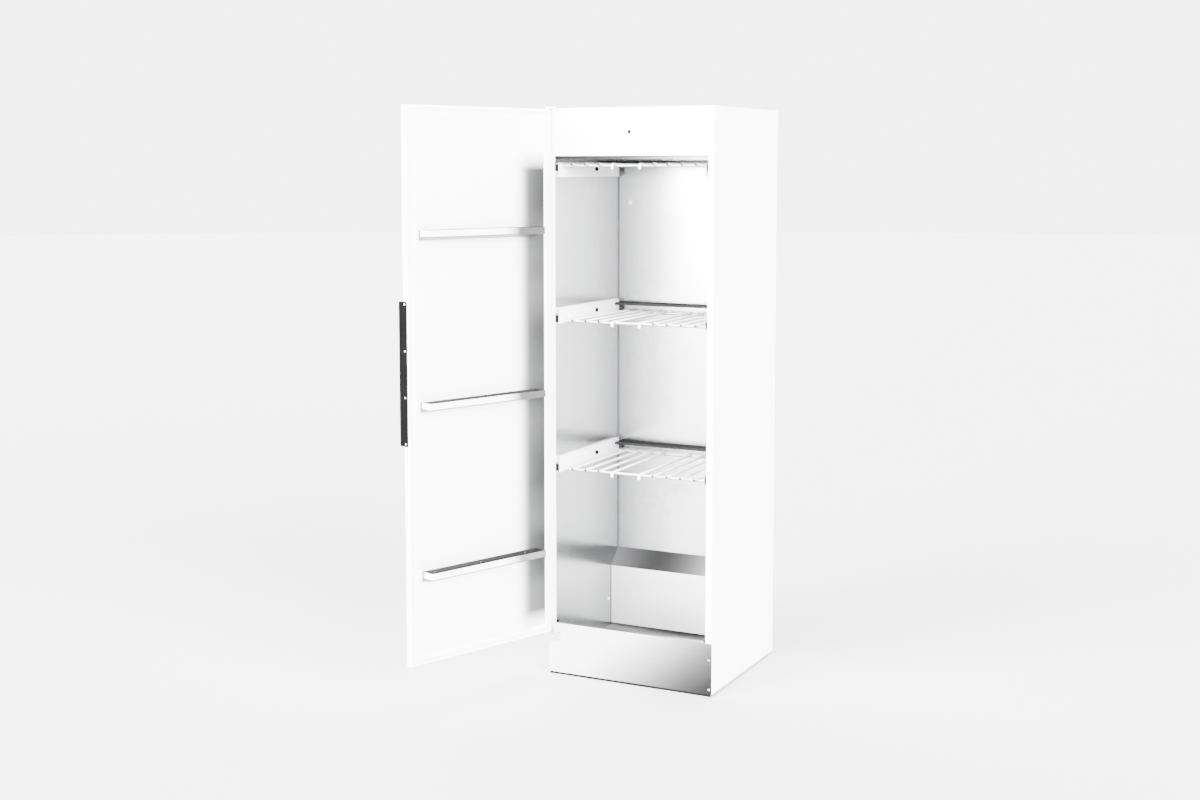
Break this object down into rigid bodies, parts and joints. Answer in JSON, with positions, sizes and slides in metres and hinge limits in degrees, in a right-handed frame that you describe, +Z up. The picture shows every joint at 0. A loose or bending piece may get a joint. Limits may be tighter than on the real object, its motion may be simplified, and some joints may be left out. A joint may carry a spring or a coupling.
{
  "type": "drying cabinet",
  "caption": "Tall clothes drying cabinet with a hinged door, pull-out hanging racks, door troughs and a fan and heater unit that blows warm air through a rear duct.",
  "frame": {"origin": "on the floor under the centre of the casing's footprint, the door left out", "axes": "+Z up, -Y towards the front that the door closes, +X to the right seen from the front; the door is hinged at -X"},
  "size_m": [0.8139, 1.1331, 1.91],
  "materials": {
    "white_enamel": "white powder coat",
    "galvanised_steel": "galvanised sheet",
    "aluzinc_lining": "bright spangled lining sheet",
    "satin_steel": "satin stainless steel",
    "trough_steel": "folded bright sheet",
    "zinc_steel": "zinc plated",
    "rack_enamel": "white powder coat",
    "dark_enamel": "dark powder coat",
    "handle_enamel": "textured anthracite coat",
    "black_plastic": "black moulded",
    "white_plastic": "white moulded",
    "grey_plastic": "grey moulded",
    "foot_plastic": "black moulded with a steel stud",
    "gasket_silicone": "white silicone",
    "insulation": "fibre wool",
    "motor_metal": "black painted motor",
    "heater_metal": "finned heater rods",
    "thermostat_phenolic": "brown moulded"
  },
  "bodies": {
    "cabinet": {"left_side_panel": "white_enamel", "right_side_panel": "white_enamel", "top_panel": "white_enamel", "back_panel": "galvanised_steel", "base_tray": "galvanised_steel", "fascia": "white_enamel", "plinth_panel": "satin_steel", "liner_left": "aluzinc_lining", "liner_right": "aluzinc_lining", "liner_back": "aluzinc_lining", "liner_ceiling": "aluzinc_lining", "floor_tray": "aluzinc_lining", "lower_duct_cover": "aluzinc_lining", "rear_duct_walls": "galvanised_steel", "adjustable_feet": "foot_plastic", "casing_screws": "zinc_steel", "lower_hinge_bracket": "zinc_steel", "upper_hinge_bracket": "zinc_steel", "wall_runners": "rack_enamel", "runner_end_caps": "black_plastic", "rear_rails": "dark_enamel", "fixing_plugs": "white_plastic", "ceiling_grille": "aluzinc_lining", "fan_housing": "galvanised_steel", "fan_motor": "motor_metal", "heater_element": "heater_metal", "overheat_thermostat": "thermostat_phenolic", "control_box": "grey_plastic", "button_bezel": "black_plastic", "exhaust_collar": "galvanised_steel", "cable_gland": "black_plastic", "terminal_block": "white_plastic"},
    "door": {"door_pan": "white_enamel", "door_liner": "aluzinc_lining", "door_core": "insulation", "door_gasket": "gasket_silicone", "door_bushes": "white_plastic", "door_handle": "handle_enamel", "handle_screws": "zinc_steel", "trough_low": "trough_steel", "trough_mid": "trough_steel", "trough_top": "trough_steel", "trough_rivets": "trough_steel"},
    "rack_low": {"rack_grid_low": "rack_enamel", "rack_rails_low": "rack_enamel", "rack_caps_low": "black_plastic"},
    "front_roller_pair_low": {"front_rollers_low": "black_plastic"},
    "rear_roller_pair_low": {"rear_rollers_low": "black_plastic"},
    "rack_mid": {"rack_grid_mid": "rack_enamel", "rack_rails_mid": "rack_enamel", "rack_caps_mid": "black_plastic"},
    "front_roller_pair_mid": {"front_rollers_mid": "black_plastic"},
    "rear_roller_pair_mid": {"rear_rollers_mid": "black_plastic"},
    "rack_top": {"rack_grid_top": "rack_enamel", "rack_rails_top": "rack_enamel", "rack_caps_top": "black_plastic"},
    "front_roller_pair_top": {"front_rollers_top": "black_plastic"},
    "rear_roller_pair_top": {"rear_rollers_top": "black_plastic"},
    "fan_wheel": {"impeller": "black_plastic"},
    "start_key": {"start_button": "black_plastic"}
  },
  "joints": [
    {"name": "door_hinge", "type": "hinge", "parent": "cabinet", "child": "door", "pos_m": [-0.2935, -0.292, 1.0235], "axis": [0, 0, 1], "range_deg": [-10, 109.5]},
    {"name": "rack_slide_low", "type": "slide", "parent": "cabinet", "child": "rack_low", "axis": [0, 1, 0], "range_m": [-0.23, 0]},
    {"name": "front_roller_spin_low", "type": "hinge", "parent": "cabinet", "child": "front_roller_pair_low", "pos_m": [0, -0.254, 0.7075], "axis": [1, 0, 0], "continuous": true},
    {"name": "rear_roller_spin_low", "type": "hinge", "parent": "rack_low", "child": "rear_roller_pair_low", "pos_m": [0, 0.016, 0.7075], "axis": [1, 0, 0], "continuous": true},
    {"name": "rack_slide_mid", "type": "slide", "parent": "cabinet", "child": "rack_mid", "axis": [0, 1, 0], "range_m": [-0.23, 0]},
    {"name": "front_roller_spin_mid", "type": "hinge", "parent": "cabinet", "child": "front_roller_pair_mid", "pos_m": [0, -0.254, 1.2075], "axis": [1, 0, 0], "continuous": true},
    {"name": "rear_roller_spin_mid", "type": "hinge", "parent": "rack_mid", "child": "rear_roller_pair_mid", "pos_m": [0, 0.016, 1.2075], "axis": [1, 0, 0], "continuous": true},
    {"name": "rack_slide_top", "type": "slide", "parent": "cabinet", "child": "rack_top", "axis": [0, 1, 0], "range_m": [-0.23, 0]},
    {"name": "front_roller_spin_top", "type": "hinge", "parent": "cabinet", "child": "front_roller_pair_top", "pos_m": [0, -0.254, 1.7075], "axis": [1, 0, 0], "continuous": true},
    {"name": "rear_roller_spin_top", "type": "hinge", "parent": "rack_top", "child": "rear_roller_pair_top", "pos_m": [0, 0.016, 1.7075], "axis": [1, 0, 0], "continuous": true},
    {"name": "fan_spin", "type": "hinge", "parent": "cabinet", "child": "fan_wheel", "pos_m": [0, -0.045, 1.8], "axis": [0, 0, 1], "continuous": true},
    {"name": "button_press", "type": "slide", "parent": "cabinet", "child": "start_key", "axis": [0, 1, 0], "range_m": [0, 0.0015], "stiffness_N_per_m": 400}
  ],
  "couplings": [
    {"joint": "front_roller_spin_low", "follows": "rack_slide_low", "rad_per_m": -90.909},
    {"joint": "rear_roller_spin_low", "follows": "rack_slide_low", "rad_per_m": -90.909},
    {"joint": "front_roller_spin_mid", "follows": "rack_slide_mid", "rad_per_m": -90.909},
    {"joint": "rear_roller_spin_mid", "follows": "rack_slide_mid", "rad_per_m": -90.909},
    {"joint": "front_roller_spin_top", "follows": "rack_slide_top", "rad_per_m": -90.909},
    {"joint": "rear_roller_spin_top", "follows": "rack_slide_top", "rad_per_m": -90.909}
  ]
}
